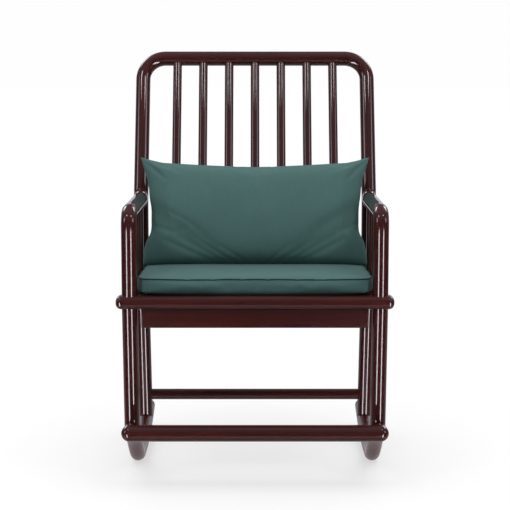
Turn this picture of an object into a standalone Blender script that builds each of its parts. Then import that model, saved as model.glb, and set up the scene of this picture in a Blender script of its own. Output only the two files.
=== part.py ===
"""Rocking chair: a round-rod hardwood frame on two rockers, with a seat cushion and a lumbar pillow.

Metres, +Z up, +X to the sitter's left, the front of the chair towards -Y.  Sizes are given with Y
measured back from the front legs' line and Z up from the floor; the finished chair is then set down
with the bottom centre of its bounding box at the origin.
"""

import math

import bmesh
import bpy
from mathutils import Matrix, Vector

# ---------------------------------------------------------------- driving dimensions
FIT = 0.0003                 # gap between faces that touch
SOCKET_DEPTH = 0.012         # how far a round tenon enters its socket

FRONT_HALF = 0.2797          # side frame's centre line from the middle, at the front legs
BACK_SPREAD = 0.0020         # how much farther out the back posts stand
POST_RADIUS = 0.018          # back posts, crest rail and rockers
ARM_RADIUS = 0.0175
LEG_RADIUS = 0.0176
ROD_SIDES = 24               # facets round a thick rod
SPINDLE_SIDES = 16

SEAT_HEIGHT = 0.4359         # top of the front seat rail
SEAT_SLOPE = math.radians(3.0)
RAIL_HEIGHT = 0.030
RAIL_DEPTH = 0.046
RAIL_ROUNDING = 0.009
FRONT_RAIL_REACH = 0.0305    # the front rail runs past the front posts' centre lines
REAR_RAIL_REACH = 0.0183     # the rear rail, past the back posts' centre lines
SIDE_RAIL_WIDTH = 0.036
SIDE_RAIL_ROUNDING = 0.003
APRON_HEIGHT = 0.043
APRON_THICKNESS = 0.020
APRON_ROUNDING = 0.002
APRON_Y = 0.003

BACK_Y = 0.395               # back posts, from the front legs' line
BACK_BEND_Z = 0.615          # height where the back begins to lean
BACK_BEND_RADIUS = 0.160
BACK_LEAN = math.radians(22.0)
BACK_TOP = 0.972             # top of the crest rail
CREST_CORNER_RADIUS = 0.056
CREST_STUB = 0.010           # straight length of the crest rail below each corner
SPINDLE_RADIUS = 0.0110
SPINDLE_PITCH = 0.0652
SPINDLE_COUNT = 7

ARM_FRONT_Z = 0.6205         # arm's centre line above the front post
ARM_REAR_Z = 0.6130          # arm's centre line at the back post
ARM_BEND_RADIUS = 0.030
PAD_TILT = math.radians(46.0)  # the padded face leans inward, towards the sitter
PAD_GROOVE = 0.0085          # bottom of the pad's groove, from the arm's centre line
PAD_WIDTH = 0.0236
PAD_THICKNESS = 0.006
PAD_ROUNDING = 0.002
PAD_FRONT_INSET = 0.060      # pad's front end, behind the front post's centre line
PAD_REAR_INSET = 0.026       # pad's rear end, ahead of the back post's centre line
SIDE_SPINDLE_RADIUS = 0.0105
SIDE_SPINDLE_COUNT = 4

ROCKER_RADIUS = 1.000        # curve that the chair rolls on, at the rod's centre line
ROCKER_LOW_Y = 0.256         # where it touches the floor
ROCKER_SWEEP_Y = 0.200       # where the front sweep leaves that curve
ROCKER_TAIL_Y = 0.530
ROCKER_END_ROUNDING = 0.007
SWEEP_START_PULL = 0.050
SWEEP_END_PULL = 0.110
SWEEP_END_SLOPE = math.radians(2.0)
FOOT_RAIL_Y = -0.045
FOOT_RAIL_Z = 0.1315
FOOT_RAIL_RADIUS = 0.0186
FOOT_RAIL_REACH = 0.0185     # past the rockers' centre lines

FRONT_LEG_FOOT_Y = 0.036
REAR_LEG_TOP_Y = 0.400
REAR_LEG_FOOT_Y = 0.462
STRETCHER_Z = 0.104
STRETCHER_RADIUS = 0.0135

SLAT_COUNT = 6
SLAT_WIDTH = 0.044
SLAT_THICKNESS = 0.012
SLAT_ROUNDING = 0.002
CLEAT_WIDTH = 0.016
CLEAT_HEIGHT = 0.014
BLOCK_LEG = 0.045            # corner block's two short sides
BLOCK_HEIGHT = 0.013

CUSHION_SIDE_GAP = 0.002     # cushion to the front posts
CUSHION_FRONT_Y = -0.012
CUSHION_REAR_Y = 0.370
CUSHION_THICKNESS = 0.036
CUSHION_ROUNDING = 0.013
CUSHION_LIFT = 0.002         # cushion above the seat rails

PILLOW_EAR_REACH = 0.0043    # the pillow's top corners, past the front posts' centre lines
PILLOW_SIDE_ROOM = 0.0217    # its lower part, inside those lines
PILLOW_EAR_POWER = 6.0       # the pillow widens only above the arms
PILLOW_HEIGHT = 0.268
PILLOW_THICKNESS = 0.110
PILLOW_EDGE = 0.016          # thickness at its seam
PILLOW_GRID = 6
PILLOW_LEAN = math.radians(19.0)
PILLOW_BACK_GAP = 0.012      # pillow to the spindles
PILLOW_LIFT = 0.004          # pillow above the cushion
PILLOW_FOOT_SHARE = 0.8      # how far back along the cushion it stands

# ---------------------------------------------------------------- finishes: colour, roughness, metallic
LACQUERED_WOOD = ((0.050, 0.016, 0.012), 0.16, 0.0)
RAW_WOOD = ((0.210, 0.110, 0.060), 0.55, 0.0)
TEAL_CLOTH = ((0.060, 0.120, 0.115), 0.85, 0.0)
DARK_CLOTH = ((0.035, 0.055, 0.050), 0.80, 0.0)


# ---------------------------------------------------------------- values worked out from them
CREST_Z = BACK_TOP - POST_RADIUS
BACK_HALF = FRONT_HALF + BACK_SPREAD
FOOT_RAIL_HALF = FRONT_HALF + FOOT_RAIL_REACH
PILLOW_TOP_HALF = FRONT_HALF + PILLOW_EAR_REACH
PILLOW_BOTTOM_HALF = FRONT_HALF - PILLOW_SIDE_ROOM
RAIL_MID_Z = SEAT_HEIGHT - RAIL_HEIGHT / 2


def seat_top(y):
    """Height of the seat frame's top at a distance behind the front legs."""
    return SEAT_HEIGHT - y * math.tan(SEAT_SLOPE)


def half_width(y):
    """Distance of a side frame's centre line from the middle."""
    return FRONT_HALF + (BACK_HALF - FRONT_HALF) * y / BACK_Y


# ---------------------------------------------------------------- scene and object helpers
def clear_scene():
    for ob in list(bpy.data.objects):
        bpy.data.objects.remove(ob, do_unlink=True)


def new_collection(name):
    collection = bpy.data.collections.new(name)
    bpy.context.scene.collection.children.link(collection)
    return collection


def add_object(name, data, collection, matrix=None):
    ob = bpy.data.objects.new(name, data)
    collection.objects.link(ob)
    ob.parent = ROOT
    if matrix is not None:
        ob.matrix_local = matrix
    return ob


def add_part(name, mesh, finish, matrix=None):
    """A named sub-part with a material of its own."""
    colour, roughness, metallic = finish
    material = bpy.data.materials.new(name)
    material.use_nodes = True
    shader = material.node_tree.nodes["Principled BSDF"]
    shader.inputs["Base Color"].default_value = (*colour, 1.0)
    shader.inputs["Roughness"].default_value = roughness
    shader.inputs["Metallic"].default_value = metallic
    mesh.materials.clear()
    mesh.materials.append(material)
    return add_object(name, mesh, PARTS, matrix)


def smooth(mesh):
    mesh.shade_smooth()
    mesh.set_sharp_from_angle(angle=math.radians(40))


def mesh_from(name, bm):
    mesh = bpy.data.meshes.new(name)
    bmesh.ops.recalc_face_normals(bm, faces=bm.faces)
    bm.to_mesh(mesh)
    bm.free()
    return mesh


def shift_mesh(mesh, offset):
    mesh.transform(Matrix.Translation(offset))


# ---------------------------------------------------------------- shapes
def rod_mesh(name, points, radius, sides=ROD_SIDES):
    """A round rod along a line of points, closed at both ends."""
    curve = bpy.data.curves.new(name, "CURVE")
    curve.dimensions = "3D"
    curve.bevel_depth = radius
    curve.bevel_resolution = (sides - 4) // 2
    curve.use_fill_caps = True
    spline = curve.splines.new("POLY")
    spline.points.add(len(points) - 1)
    for knot, point in zip(spline.points, points):
        knot.co = (*point, 1.0)
    drawn = bpy.data.objects.new(name, curve)
    bpy.context.scene.collection.objects.link(drawn)
    seen = drawn.evaluated_get(bpy.context.evaluated_depsgraph_get())
    mesh = bpy.data.meshes.new_from_object(seen)
    bpy.data.objects.remove(drawn, do_unlink=True)
    bpy.data.curves.remove(curve)
    bm = bmesh.new()
    bm.from_mesh(mesh)
    bmesh.ops.remove_doubles(bm, verts=bm.verts, dist=0.00002)
    bpy.data.meshes.remove(mesh)
    mesh = mesh_from(name, bm)
    smooth(mesh)
    return mesh


def box_mesh(name, size):
    bm = bmesh.new()
    bmesh.ops.create_cube(bm, size=1.0)
    bmesh.ops.scale(bm, vec=Vector(size), verts=bm.verts)
    return mesh_from(name, bm)


def capsule_mesh(name, radius, half_length, sides=ROD_SIDES, rings=6):
    """A rod along X with ball ends."""
    bm = bmesh.new()
    bmesh.ops.create_uvsphere(bm, u_segments=sides, v_segments=2 * rings, radius=radius)
    reach = half_length - radius
    cut = bmesh.ops.bisect_plane(bm, geom=bm.verts[:] + bm.edges[:] + bm.faces[:], dist=1e-7,
                                 plane_co=(0, 0, 0), plane_no=(0, 0, 1))
    middle = [item for item in cut["geom_cut"] if isinstance(item, bmesh.types.BMVert)]
    for vert in bm.verts:
        if vert not in middle:
            vert.co.z += math.copysign(reach, vert.co.z)
    bmesh.ops.rotate(bm, cent=(0, 0, 0), matrix=Matrix.Rotation(math.radians(90), 3, "Y"), verts=bm.verts)
    mesh = mesh_from(name, bm)
    smooth(mesh)
    return mesh


def slanted_bar_mesh(name, width, height, y_front, y_rear, top_offset=0.0):
    """A bar that follows the seat's slope, with upright ends; its middle is at X = 0."""
    curve = bpy.data.curves.new(name, "CURVE")
    curve.dimensions = "2D"
    curve.fill_mode = "BOTH"
    curve.extrude = width / 2
    spline = curve.splines.new("POLY")
    spline.points.add(3)
    top_front = seat_top(y_front) - top_offset
    top_rear = seat_top(y_rear) - top_offset
    corners = [(y_front, top_front), (y_rear, top_rear), (y_rear, top_rear - height),
               (y_front, top_front - height)]
    for knot, (y, z) in zip(spline.points, corners):
        knot.co = (y, z, 0.0, 1.0)
    spline.use_cyclic_u = True
    drawn = bpy.data.objects.new(name, curve)
    bpy.context.scene.collection.objects.link(drawn)
    seen = drawn.evaluated_get(bpy.context.evaluated_depsgraph_get())
    mesh = bpy.data.meshes.new_from_object(seen)
    bpy.data.objects.remove(drawn, do_unlink=True)
    bpy.data.curves.remove(curve)
    upright = Matrix(((0, 0, 1, 0), (1, 0, 0, 0), (0, 1, 0, 0), (0, 0, 0, 1)))
    bm = bmesh.new()
    bm.from_mesh(mesh)
    bmesh.ops.transform(bm, matrix=upright, verts=bm.verts)
    bmesh.ops.remove_doubles(bm, verts=bm.verts, dist=0.00002)
    bpy.data.meshes.remove(mesh)
    return mesh_from(name, bm)


def bevel(ob, width, segments=3):
    modifier = ob.modifiers.new("rounded edges", "BEVEL")
    modifier.width = width
    modifier.segments = segments
    modifier.limit_method = "ANGLE"
    modifier.angle_limit = math.radians(50)


def cut(ob, name, mesh, matrix=None):
    """Takes a cutter's shape away from a part."""
    cutter = add_object(f"cut_{ob.name}_{name}", mesh, CUTTERS, matrix)
    cutter.hide_render = True
    cutter.display_type = "WIRE"
    modifier = ob.modifiers.new(name, "BOOLEAN")
    modifier.operation = "DIFFERENCE"
    modifier.solver = "EXACT"
    modifier.object = cutter


def socket_mesh(name, points, radius, sides):
    """The room that a rod takes up, with the fit's gap all round and at both ends."""
    first = Vector(points[0])
    last = Vector(points[-1])
    start = first + (first - Vector(points[1])).normalized() * FIT
    end = last + (last - Vector(points[-2])).normalized() * FIT
    return rod_mesh(name, [start, *points[1:-1], end], radius + FIT, sides)


def cut_rods(ob, name, lines, radius, sides=ROD_SIDES):
    """Bores a part for the rods that enter it."""
    bm = bmesh.new()
    for points in lines:
        mesh = socket_mesh(name, points, radius, sides)
        bm.from_mesh(mesh)
        bpy.data.meshes.remove(mesh)
    mesh = bpy.data.meshes.new(name)
    bm.to_mesh(mesh)
    bm.free()
    cut(ob, name, mesh)


# ---------------------------------------------------------------- centre lines
def arc(centre, radius, start, end, steps):
    """Points along an arc in a plane; angles are from the first axis."""
    angles = [start + (end - start) * i / steps for i in range(steps + 1)]
    return [(centre[0] + radius * math.cos(a), centre[1] + radius * math.sin(a)) for a in angles]


def back_side_line(z_start, z_end, steps=7):
    """Side view of a post or spindle: upright, bent, then leaning, as (y, z)."""
    tangent = BACK_BEND_RADIUS * math.tan(BACK_LEAN / 2)
    centre = (BACK_Y + BACK_BEND_RADIUS, BACK_BEND_Z - tangent)
    bend = arc(centre, BACK_BEND_RADIUS, math.pi, math.pi - BACK_LEAN, steps)
    return [(BACK_Y, z_start), *bend, (back_y(z_end), z_end)]


def back_y(z):
    """Y of the leaning part of the back at a height."""
    return BACK_Y + (z - BACK_BEND_Z) * math.tan(BACK_LEAN)


def crest_line(steps=7):
    """Crest rail with its two round corners, in the plane that the back leans in."""
    low = CREST_CORNER_RADIUS
    right = arc((BACK_HALF - low, -low), low, 0.0, math.pi / 2, steps)
    flat = [(BACK_HALF, -low - CREST_STUB), *right]
    flat += [(-x, t) for x, t in reversed(flat)]
    lean_y = math.sin(BACK_LEAN)
    lean_z = math.cos(BACK_LEAN)
    return [(x, back_y(CREST_Z) + t * lean_y, CREST_Z + t * lean_z) for x, t in flat]


def post_line(side):
    """Back post, from its socket in the rear rail to the crest rail's end."""
    drop = CREST_CORNER_RADIUS + CREST_STUB + FIT
    top = CREST_Z - drop * math.cos(BACK_LEAN)
    bottom = seat_top(BACK_Y) - SOCKET_DEPTH
    return [(side * BACK_HALF, y, z) for y, z in back_side_line(bottom, top)]


def spindle_line(x):
    top = CREST_Z - (POST_RADIUS - SOCKET_DEPTH) * math.cos(BACK_LEAN)
    bottom = seat_top(BACK_Y) - SOCKET_DEPTH
    return [(x, y, z) for y, z in back_side_line(bottom, top, steps=5)]


def arm_line(side, steps=7):
    """Arm rail from the back post forward, round the front bend and down to the seat rail."""
    r = ARM_BEND_RADIUS
    bend = arc((r, ARM_FRONT_Z - r), r, math.pi / 2, math.pi, steps)
    line = [(BACK_Y, ARM_REAR_Z), *bend, (0.0, SEAT_HEIGHT - SOCKET_DEPTH)]
    return [(side * half_width(y), y, z) for y, z in line]


def rocker_z(y):
    """Height of a rocker's centre line along the curve that rolls."""
    return POST_RADIUS + ROCKER_RADIUS - math.sqrt(ROCKER_RADIUS ** 2 - (y - ROCKER_LOW_Y) ** 2)


def rocker_side_line(steps=9):
    """Rocker in side view, from the foot rail back to the tail, as (y, z)."""
    start = Vector((FOOT_RAIL_Y, FOOT_RAIL_Z))
    end = Vector((ROCKER_SWEEP_Y, rocker_z(ROCKER_SWEEP_Y)))
    slope = math.asin((ROCKER_LOW_Y - ROCKER_SWEEP_Y) / ROCKER_RADIUS)
    first = start + SWEEP_END_PULL * Vector((math.cos(SWEEP_END_SLOPE), -math.sin(SWEEP_END_SLOPE)))
    second = end + SWEEP_START_PULL * Vector((-math.cos(slope), math.sin(slope)))
    sweep = []
    for i in range(steps):
        t = i / steps
        u = 1 - t
        sweep.append(u ** 3 * start + 3 * u * u * t * first + 3 * u * t * t * second + t ** 3 * end)
    tail = [ROCKER_SWEEP_Y + (ROCKER_TAIL_Y - ROCKER_SWEEP_Y) * i / steps for i in range(steps + 1)]
    return [(p.x, p.y) for p in sweep] + [(y, rocker_z(y)) for y in tail]


def rocker_line(side):
    return [(side * FRONT_HALF, y, z) for y, z in rocker_side_line()]


def rocker_centre(y):
    """Height of the rocker's centre line, read from its own line."""
    line = rocker_side_line()
    for (y0, z0), (y1, z1) in zip(line, line[1:]):
        if y0 <= y <= y1:
            return z0 + (z1 - z0) * (y - y0) / (y1 - y0)
    return line[-1][1]


def front_leg_line(side):
    top = (side * FRONT_HALF, 0.0, RAIL_MID_Z - RAIL_HEIGHT / 2 + SOCKET_DEPTH)
    return [(side * FRONT_HALF, FRONT_LEG_FOOT_Y, rocker_centre(FRONT_LEG_FOOT_Y)), top]


def rear_leg_line(side):
    top_z = seat_top(BACK_Y) - RAIL_HEIGHT + SOCKET_DEPTH
    top = (side * BACK_HALF, REAR_LEG_TOP_Y, top_z)
    return [(side * FRONT_HALF, REAR_LEG_FOOT_Y, rocker_centre(REAR_LEG_FOOT_Y)), top]


def stretcher_line():
    """Rear stretcher between the rear legs, ending inside them."""
    foot, top = (Vector(point) for point in rear_leg_line(1))
    share = (STRETCHER_Z - foot.z) / (top.z - foot.z)
    at = foot.lerp(top, share)
    reach = at.x - LEG_RADIUS + SOCKET_DEPTH
    return [(-reach, at.y, at.z), (reach, at.y, at.z)]


def side_spindle_line(side, index):
    gap = BACK_Y / (SIDE_SPINDLE_COUNT + 1)
    y = gap * (index + 1)
    arm_z = ARM_FRONT_Z + (ARM_REAR_Z - ARM_FRONT_Z) * y / BACK_Y
    bottom = (side * half_width(y), y, seat_top(y) - SOCKET_DEPTH)
    return [bottom, (side * half_width(y), y, arm_z - ARM_RADIUS + SOCKET_DEPTH)]


# ---------------------------------------------------------------- sub-parts
SIDES = (("left", 1), ("right", -1))
SPINDLES_X = [SPINDLE_PITCH * (i - (SPINDLE_COUNT - 1) / 2) for i in range(SPINDLE_COUNT)]


def make_cross_rail(name, half, y, segments):
    """A rail across the seat frame, its top on the seat's slope."""
    z = seat_top(y) - RAIL_HEIGHT / 2
    mesh = box_mesh(name, (2 * half, RAIL_DEPTH, RAIL_HEIGHT))
    shift_mesh(mesh, (0, y, z))
    rail = add_part(name, mesh, LACQUERED_WOOD)
    bevel(rail, RAIL_ROUNDING, segments)
    return rail


def make_seat_rails():
    front = make_cross_rail("front_seat_rail", FRONT_HALF + FRONT_RAIL_REACH, 0.0, 4)
    cut_rods(front, "arms", [arm_line(side)[-2:] for _, side in SIDES], ARM_RADIUS)
    cut_rods(front, "legs", [front_leg_line(side) for _, side in SIDES], LEG_RADIUS)
    rear = make_cross_rail("rear_seat_rail", BACK_HALF + REAR_RAIL_REACH, BACK_Y, 3)
    cut_rods(rear, "posts", [post_line(side)[:2] for _, side in SIDES], POST_RADIUS)
    cut_rods(rear, "legs", [rear_leg_line(side) for _, side in SIDES], LEG_RADIUS)
    cut_rods(rear, "spindles", [spindle_line(x)[:2] for x in SPINDLES_X], SPINDLE_RADIUS, SPINDLE_SIDES)
    y_front = RAIL_DEPTH / 2 + FIT
    y_rear = BACK_Y - RAIL_DEPTH / 2 - FIT
    for label, side in SIDES:
        name = f"side_seat_rail_{label}"
        mesh = slanted_bar_mesh(name, SIDE_RAIL_WIDTH, RAIL_HEIGHT, y_front, y_rear)
        shift_mesh(mesh, (side * half_width(BACK_Y / 2), 0, 0))
        rail = add_part(name, mesh, LACQUERED_WOOD)
        bevel(rail, SIDE_RAIL_ROUNDING, 2)
        lines = [side_spindle_line(side, i) for i in range(SIDE_SPINDLE_COUNT)]
        cut_rods(rail, "spindles", lines, SIDE_SPINDLE_RADIUS, SPINDLE_SIDES)


def make_apron():
    z = SEAT_HEIGHT - RAIL_HEIGHT - FIT - APRON_HEIGHT / 2
    mesh = box_mesh("front_apron", (2 * FRONT_HALF, APRON_THICKNESS, APRON_HEIGHT))
    shift_mesh(mesh, (0, APRON_Y, z))
    apron = add_part("front_apron", mesh, LACQUERED_WOOD)
    bevel(apron, APRON_ROUNDING, 2)
    cut_rods(apron, "legs", [front_leg_line(side) for _, side in SIDES], LEG_RADIUS)


def make_legs():
    stretcher = stretcher_line()
    for label, side in SIDES:
        for name, line in (("front_leg", front_leg_line(side)), ("rear_leg", rear_leg_line(side))):
            leg = add_part(f"{name}_{label}", rod_mesh(name, line, LEG_RADIUS), LACQUERED_WOOD)
            cut_rods(leg, "rocker", [rocker_line(side)], POST_RADIUS)
            if name == "rear_leg":
                cut_rods(leg, "stretcher", [stretcher], STRETCHER_RADIUS, SPINDLE_SIDES)
    add_part("rear_stretcher", rod_mesh("rear_stretcher", stretcher, STRETCHER_RADIUS, SPINDLE_SIDES),
             LACQUERED_WOOD)


def make_rockers():
    rail_place = Matrix.Translation((0, FOOT_RAIL_Y, FOOT_RAIL_Z))
    for label, side in SIDES:
        rocker = add_part(f"rocker_{label}", rod_mesh("rocker", rocker_line(side), POST_RADIUS),
                          LACQUERED_WOOD)
        bevel(rocker, ROCKER_END_ROUNDING, 3)
        cut(rocker, "foot_rail", capsule_mesh("foot_rail", FOOT_RAIL_RADIUS + FIT,
            FOOT_RAIL_HALF + FIT), rail_place)
    add_part("foot_rail", capsule_mesh("foot_rail", FOOT_RAIL_RADIUS, FOOT_RAIL_HALF), LACQUERED_WOOD,
             rail_place)


def make_back():
    crest = add_part("crest_rail", rod_mesh("crest_rail", crest_line(), POST_RADIUS), LACQUERED_WOOD)
    lines = [spindle_line(x) for x in SPINDLES_X]
    cut_rods(crest, "spindles", [line[-2:] for line in lines], SPINDLE_RADIUS, SPINDLE_SIDES)
    for i, line in enumerate(lines):
        mesh = rod_mesh("back_spindle", line, SPINDLE_RADIUS, SPINDLE_SIDES)
        add_part(f"back_spindle_{i + 1}", mesh, LACQUERED_WOOD)
    for label, side in SIDES:
        add_part(f"back_post_{label}", rod_mesh("back_post", post_line(side), POST_RADIUS),
                 LACQUERED_WOOD)


def arm_frame(side, y, height):
    """Place over an arm rail's padded face, a height from its centre line, running along it."""
    rear = Vector((side * BACK_HALF, BACK_Y, ARM_REAR_Z))
    front = Vector((side * FRONT_HALF, 0.0, ARM_FRONT_Z))
    along = (rear - front).normalized()
    across = along.cross(Vector((0, 0, 1))).normalized()
    up = across.cross(along)
    at = Matrix.Translation(front + along * (y / along.y))
    turn = Matrix((across, along, up)).transposed().to_4x4()
    tilt = Matrix.Rotation(-side * PAD_TILT, 4, "Y")
    return at @ turn @ tilt @ Matrix.Translation((0, 0, height))


def make_arms():
    pad_length = BACK_Y - PAD_FRONT_INSET - PAD_REAR_INSET
    pad_mid = PAD_FRONT_INSET + pad_length / 2
    for label, side in SIDES:
        arm = add_part(f"arm_{label}", rod_mesh("arm", arm_line(side), ARM_RADIUS), LACQUERED_WOOD)
        cut_rods(arm, "post", [post_line(side)], POST_RADIUS)
        room = (PAD_WIDTH + 2 * FIT, pad_length + 2 * FIT, ARM_RADIUS)
        place = arm_frame(side, pad_mid, PAD_GROOVE + ARM_RADIUS / 2)
        cut(arm, "pad_groove", box_mesh("pad_groove", room), place)
        pad = add_part(f"arm_pad_{label}", box_mesh("arm_pad", (PAD_WIDTH, pad_length, PAD_THICKNESS)),
                       DARK_CLOTH, arm_frame(side, pad_mid, PAD_GROOVE + FIT + PAD_THICKNESS / 2))
        bevel(pad, PAD_ROUNDING, 2)
        lines = [side_spindle_line(side, i) for i in range(SIDE_SPINDLE_COUNT)]
        cut_rods(arm, "spindles", lines, SIDE_SPINDLE_RADIUS, SPINDLE_SIDES)
        for i, line in enumerate(lines):
            mesh = rod_mesh("side_spindle", line, SIDE_SPINDLE_RADIUS, SPINDLE_SIDES)
            add_part(f"side_spindle_{label}_{i + 1}", mesh, LACQUERED_WOOD)


def inner_face():
    """X of the side seat rails' inner faces."""
    return half_width(BACK_Y / 2) - SIDE_RAIL_WIDTH / 2


def make_seat_deck():
    """Cleats, slats and corner blocks under the cushion."""
    y_front = RAIL_DEPTH / 2 + FIT
    y_rear = BACK_Y - RAIL_DEPTH / 2 - FIT
    block_room = BLOCK_LEG + FIT
    for label, side in SIDES:
        mesh = slanted_bar_mesh("cleat", CLEAT_WIDTH, CLEAT_HEIGHT, y_front + block_room,
                                y_rear - block_room, SLAT_THICKNESS + FIT)
        x = side * (inner_face() - FIT - CLEAT_WIDTH / 2)
        add_part(f"seat_cleat_{label}", mesh, RAW_WOOD, Matrix.Translation((x, 0, 0)))
    span = y_rear - y_front
    pitch = span / SLAT_COUNT
    turn = Matrix.Rotation(-SEAT_SLOPE, 4, "X")
    for i in range(SLAT_COUNT):
        y = y_front + pitch * (i + 0.5)
        z = seat_top(y) - SLAT_THICKNESS / 2 / math.cos(SEAT_SLOPE)
        slat = add_part(f"seat_slat_{i + 1}", box_mesh("seat_slat", (2 * (inner_face() - FIT),
                        SLAT_WIDTH, SLAT_THICKNESS)), RAW_WOOD, Matrix.Translation((0, y, z)) @ turn)
        bevel(slat, SLAT_ROUNDING, 2)


def make_corner_blocks():
    """Three-sided blocks that brace the seat frame's corners, under the slats."""
    y_front = RAIL_DEPTH / 2 + 2 * FIT
    y_rear = BACK_Y - RAIL_DEPTH / 2 - 2 * FIT
    for end, y, step in (("front", y_front, 1), ("rear", y_rear, -1)):
        for label, side in SIDES:
            x = inner_face() - FIT
            top = min(seat_top(y), seat_top(y + step * BLOCK_LEG)) - SLAT_THICKNESS - 2 * FIT
            corners = [(x, y), (x - BLOCK_LEG, y), (x, y + step * BLOCK_LEG)]
            bm = bmesh.new()
            low = [bm.verts.new((side * cx, cy, top - BLOCK_HEIGHT)) for cx, cy in corners]
            face = bm.faces.new(low)
            grown = bmesh.ops.extrude_face_region(bm, geom=[face])
            lifted = [item for item in grown["geom"] if isinstance(item, bmesh.types.BMVert)]
            bmesh.ops.translate(bm, vec=(0, 0, BLOCK_HEIGHT), verts=lifted)
            add_part(f"corner_block_{end}_{label}", mesh_from("corner_block", bm), RAW_WOOD)


def make_seat_cushion():
    half = FRONT_HALF - ARM_RADIUS - CUSHION_SIDE_GAP
    depth = CUSHION_REAR_Y - CUSHION_FRONT_Y
    mid = (CUSHION_REAR_Y + CUSHION_FRONT_Y) / 2
    z = seat_top(mid) + CUSHION_LIFT + CUSHION_THICKNESS / 2
    place = Matrix.Translation((0, mid, z)) @ Matrix.Rotation(-SEAT_SLOPE, 4, "X")
    cushion = add_part("seat_cushion", box_mesh("seat_cushion", (2 * half, depth, CUSHION_THICKNESS)),
                       TEAL_CLOTH, place)
    bevel(cushion, CUSHION_ROUNDING, 4)


def make_lumbar_pillow():
    """A knife-edge pillow, fuller in the middle, wider above the arms, leaning on the spindles."""
    bm = bmesh.new()
    bmesh.ops.create_cube(bm, size=2.0)
    bmesh.ops.subdivide_edges(bm, edges=bm.edges[:], cuts=PILLOW_GRID, use_grid_fill=True)
    half_height = PILLOW_HEIGHT / 2
    for vert in bm.verts:
        x, y, z = vert.co
        crown = math.sqrt((1 - x * x) * (1 - z * z))
        thickness = PILLOW_EDGE + (PILLOW_THICKNESS - PILLOW_EDGE) * crown
        rise = ((z + 1) / 2) ** PILLOW_EAR_POWER
        half = PILLOW_BOTTOM_HALF + (PILLOW_TOP_HALF - PILLOW_BOTTOM_HALF) * rise
        vert.co = (x * half, y * thickness / 2, z * half_height)
    cushion_top = seat_top(CUSHION_REAR_Y * PILLOW_FOOT_SHARE) + CUSHION_LIFT + CUSHION_THICKNESS
    low = cushion_top + PILLOW_LIFT
    z = low + half_height * math.cos(PILLOW_LEAN)
    front_of_spindles = BACK_Y - SPINDLE_RADIUS / math.cos(BACK_LEAN) - PILLOW_BACK_GAP
    y = front_of_spindles - PILLOW_THICKNESS / 2 / math.cos(PILLOW_LEAN)
    place = Matrix.Translation((0, y, z)) @ Matrix.Rotation(-PILLOW_LEAN, 4, "X")
    mesh = mesh_from("lumbar_pillow", bm)
    smooth(mesh)
    add_part("lumbar_pillow", mesh, TEAL_CLOTH, place)


def set_down():
    """Moves the chair so that its bounding box stands on the origin, centred."""
    bpy.context.view_layer.update()
    graph = bpy.context.evaluated_depsgraph_get()
    low = Vector((math.inf,) * 3)
    high = -low
    for ob in PARTS.objects:
        if ob.type != "MESH":
            continue
        seen = ob.evaluated_get(graph)
        for vert in seen.data.vertices:
            at = seen.matrix_world @ vert.co
            low = Vector(map(min, low, at))
            high = Vector(map(max, high, at))
    ROOT.location = (-(low.x + high.x) / 2, -(low.y + high.y) / 2, -low.z)


clear_scene()
PARTS = new_collection("rocking_chair")
CUTTERS = new_collection("cutters")
ROOT = bpy.data.objects.new("chair_frame", None)
PARTS.objects.link(ROOT)
make_seat_rails()
make_apron()
make_legs()
make_rockers()
make_back()
make_arms()
make_seat_deck()
make_corner_blocks()
make_seat_cushion()
make_lumbar_pillow()
set_down()
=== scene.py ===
"""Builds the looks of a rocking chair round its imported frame: rods, rails, upholstery and a studio."""

import functools
import math

import bmesh
import bpy
from mathutils import Matrix, Vector


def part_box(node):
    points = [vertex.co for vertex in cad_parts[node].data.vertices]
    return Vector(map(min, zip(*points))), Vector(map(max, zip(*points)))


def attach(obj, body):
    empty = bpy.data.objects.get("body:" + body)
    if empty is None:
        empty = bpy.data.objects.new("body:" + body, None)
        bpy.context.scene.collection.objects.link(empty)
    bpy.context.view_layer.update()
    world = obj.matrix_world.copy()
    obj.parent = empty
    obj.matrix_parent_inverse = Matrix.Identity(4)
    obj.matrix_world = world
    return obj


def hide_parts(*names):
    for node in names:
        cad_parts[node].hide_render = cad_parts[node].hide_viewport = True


bl_info = {
    "name": "Rocking Chair Looks",
    "version": (1, 0, 0),
    "blender": (4, 5, 0),
    "location": "3D View > Sidebar > Rocking Chair",
    "description": "Lacquered rods, upholstery and a studio round a packed rocking chair",
    "category": "Object",
}

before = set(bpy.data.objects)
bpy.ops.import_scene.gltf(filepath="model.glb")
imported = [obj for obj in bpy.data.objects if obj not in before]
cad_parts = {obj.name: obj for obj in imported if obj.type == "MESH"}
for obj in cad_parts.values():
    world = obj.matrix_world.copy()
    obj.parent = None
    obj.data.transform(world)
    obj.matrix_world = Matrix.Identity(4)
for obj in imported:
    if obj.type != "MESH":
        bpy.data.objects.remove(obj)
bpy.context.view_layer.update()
SIDES = (("left", 1), ("right", -1))

# pieces of wood
FRONT_RAIL_ROUNDING = 0.0125
REAR_RAIL_ROUNDING = 0.009
SIDE_RAIL_ROUNDING = 0.003
APRON_ROUNDING = 0.002
APRON_IN_LEG = 0.004         # how far the apron runs into each leg
REAR_LEG_SET_IN = 0.028      # rear leg's top, behind the rear rail's front face
ROCKER_TAIL_CUT = 0.004      # rocker's end, inside its box
GROOVE_ROOM = 0.0004         # pad's groove, past the pad on each side
ARM_CROWN = 0.006            # the groove is kept to the arm above this, under its centre line
PAD_END_ROUNDING = 0.004
PAD_SEAT = 0.0003            # pad above the bottom of its groove

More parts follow.
